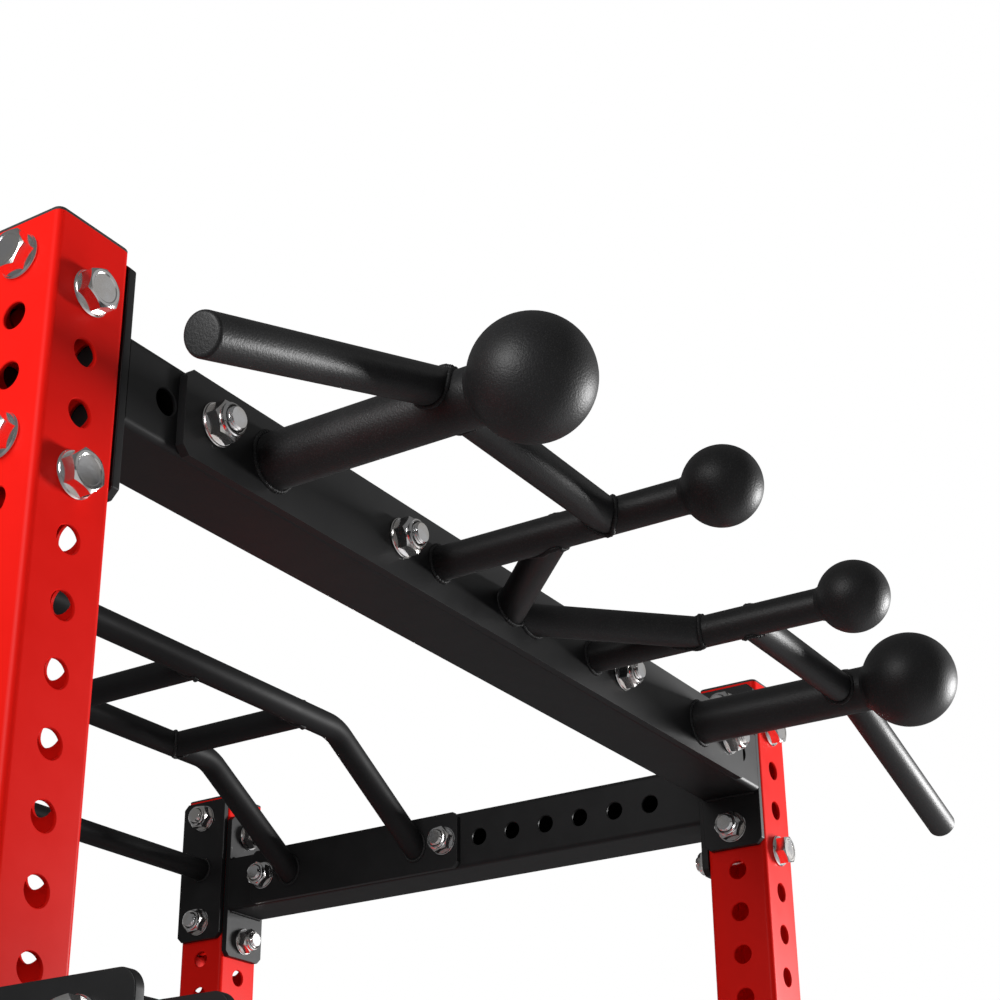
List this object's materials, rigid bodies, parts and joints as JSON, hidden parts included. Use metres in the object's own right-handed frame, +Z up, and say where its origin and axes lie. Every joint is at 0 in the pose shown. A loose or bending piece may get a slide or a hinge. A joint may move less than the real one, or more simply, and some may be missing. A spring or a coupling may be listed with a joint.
{
  "type": "power cage",
  "caption": "Four-post power cage of hole-punched square tube with bolted crossmembers, globe pull-up frame, multi-grip bar, swinging bar hooks and pin-and-pipe safeties.",
  "frame": {"origin": "on the floor, midway between the four uprights, which is the centre of the floor anchor holes", "axes": "+Z up, +X to the right seen from the front, -Y is the front with the globe pull-up frame"},
  "size_m": [1.3284, 1.242, 2.271],
  "materials": {
    "upright_paint": "satin red powder coat",
    "frame_paint": "fine-texture black powder coat",
    "grip_paint": "grainy matt black powder coat",
    "zinc_steel": "bright zinc plating",
    "pin_steel": "turned steel",
    "cap_plastic": "moulded black plastic",
    "liner_plastic": "dark wear plastic"
  },
  "bodies": {
    "frame": {"angled_handle_left": "grip_paint", "angled_handle_right": "grip_paint", "bracket_bolts": "zinc_steel", "bracket_nuts": "zinc_steel", "centre_struts": "grip_paint", "cross_grips": "grip_paint", "foot_plates": "upright_paint", "frame_bolts": "zinc_steel", "frame_nuts": "zinc_steel", "front_crossmember": "frame_paint", "front_crossmember_plates": "frame_paint", "globe_bolts": "zinc_steel", "globe_mount_plate": "frame_paint", "globe_nuts": "zinc_steel", "hook_bracket_liners": "liner_plastic", "hook_bracket_plates": "frame_paint", "hook_bracket_spacers": "frame_paint", "inner_arm_left": "grip_paint", "inner_arm_right": "grip_paint", "large_globe_left": "grip_paint", "large_globe_right": "grip_paint", "left_crossmember": "frame_paint", "left_crossmember_plates": "frame_paint", "lower_left_crossmember": "frame_paint", "lower_left_plates": "frame_paint", "lower_rear_crossmember": "frame_paint", "lower_rear_plates": "frame_paint", "lower_right_crossmember": "frame_paint", "lower_right_plates": "frame_paint", "multigrip_bar_front": "grip_paint", "multigrip_bar_rear": "grip_paint", "multigrip_bolts": "zinc_steel", "multigrip_nuts": "zinc_steel", "multigrip_plates": "frame_paint", "multigrip_rungs": "grip_paint", "outer_arm_left": "grip_paint", "outer_arm_right": "grip_paint", "right_crossmember": "frame_paint", "right_crossmember_plates": "frame_paint", "small_globe_left": "grip_paint", "small_globe_right": "grip_paint", "straight_bar_plates": "frame_paint", "straight_pullup_bar": "grip_paint", "upright_caps": "cap_plastic", "upright_front_left": "upright_paint", "upright_front_right": "upright_paint", "upright_rear_left": "upright_paint", "upright_rear_right": "upright_paint"},
    "bar_hook_left": {"bar_hook_left": "frame_paint", "bar_hook_liner_left": "liner_plastic"},
    "bar_hook_right": {"bar_hook_right": "frame_paint", "bar_hook_liner_right": "liner_plastic"},
    "hook_lock_pin_left": {"hook_lock_pin_left": "pin_steel"},
    "hook_lock_pin_right": {"hook_lock_pin_right": "pin_steel"},
    "safety_pipe_left": {"safety_pipe_left": "frame_paint", "safety_pipe_bushes_left": "liner_plastic"},
    "safety_pipe_right": {"safety_pipe_right": "frame_paint", "safety_pipe_bushes_right": "liner_plastic"},
    "safety_pin_left": {"safety_pin_left": "pin_steel"},
    "safety_pin_right": {"safety_pin_right": "pin_steel"}
  },
  "joints": [
    {"name": "hook_swing_left", "type": "hinge", "parent": "frame", "child": "bar_hook_left", "pos_m": [-0.5875, -0.539, 1.66], "axis": [-1, 0, 0], "range_deg": [0, 95]},
    {"name": "lock_pin_slide_left", "type": "slide", "parent": "frame", "child": "hook_lock_pin_left", "axis": [-1, 0, 0], "range_m": [0, 0.11]},
    {"name": "safety_pin_slide_left", "type": "slide", "parent": "frame", "child": "safety_pin_left", "axis": [0, -1, 0], "range_m": [0, 0.92]},
    {"name": "safety_pipe_roll_left", "type": "hinge", "parent": "frame", "child": "safety_pipe_left", "pos_m": [-0.5875, 0, 0.813], "axis": [0, 1, 0], "continuous": true},
    {"name": "hook_swing_right", "type": "hinge", "parent": "frame", "child": "bar_hook_right", "pos_m": [0.5875, -0.539, 1.66], "axis": [-1, 0, 0], "range_deg": [0, 95]},
    {"name": "lock_pin_slide_right", "type": "slide", "parent": "frame", "child": "hook_lock_pin_right", "axis": [1, 0, 0], "range_m": [0, 0.11]},
    {"name": "safety_pin_slide_right", "type": "slide", "parent": "frame", "child": "safety_pin_right", "axis": [0, -1, 0], "range_m": [0, 0.92]},
    {"name": "safety_pipe_roll_right", "type": "hinge", "parent": "frame", "child": "safety_pipe_right", "pos_m": [0.5875, 0, 0.813], "axis": [0, 1, 0], "continuous": true}
  ]
}
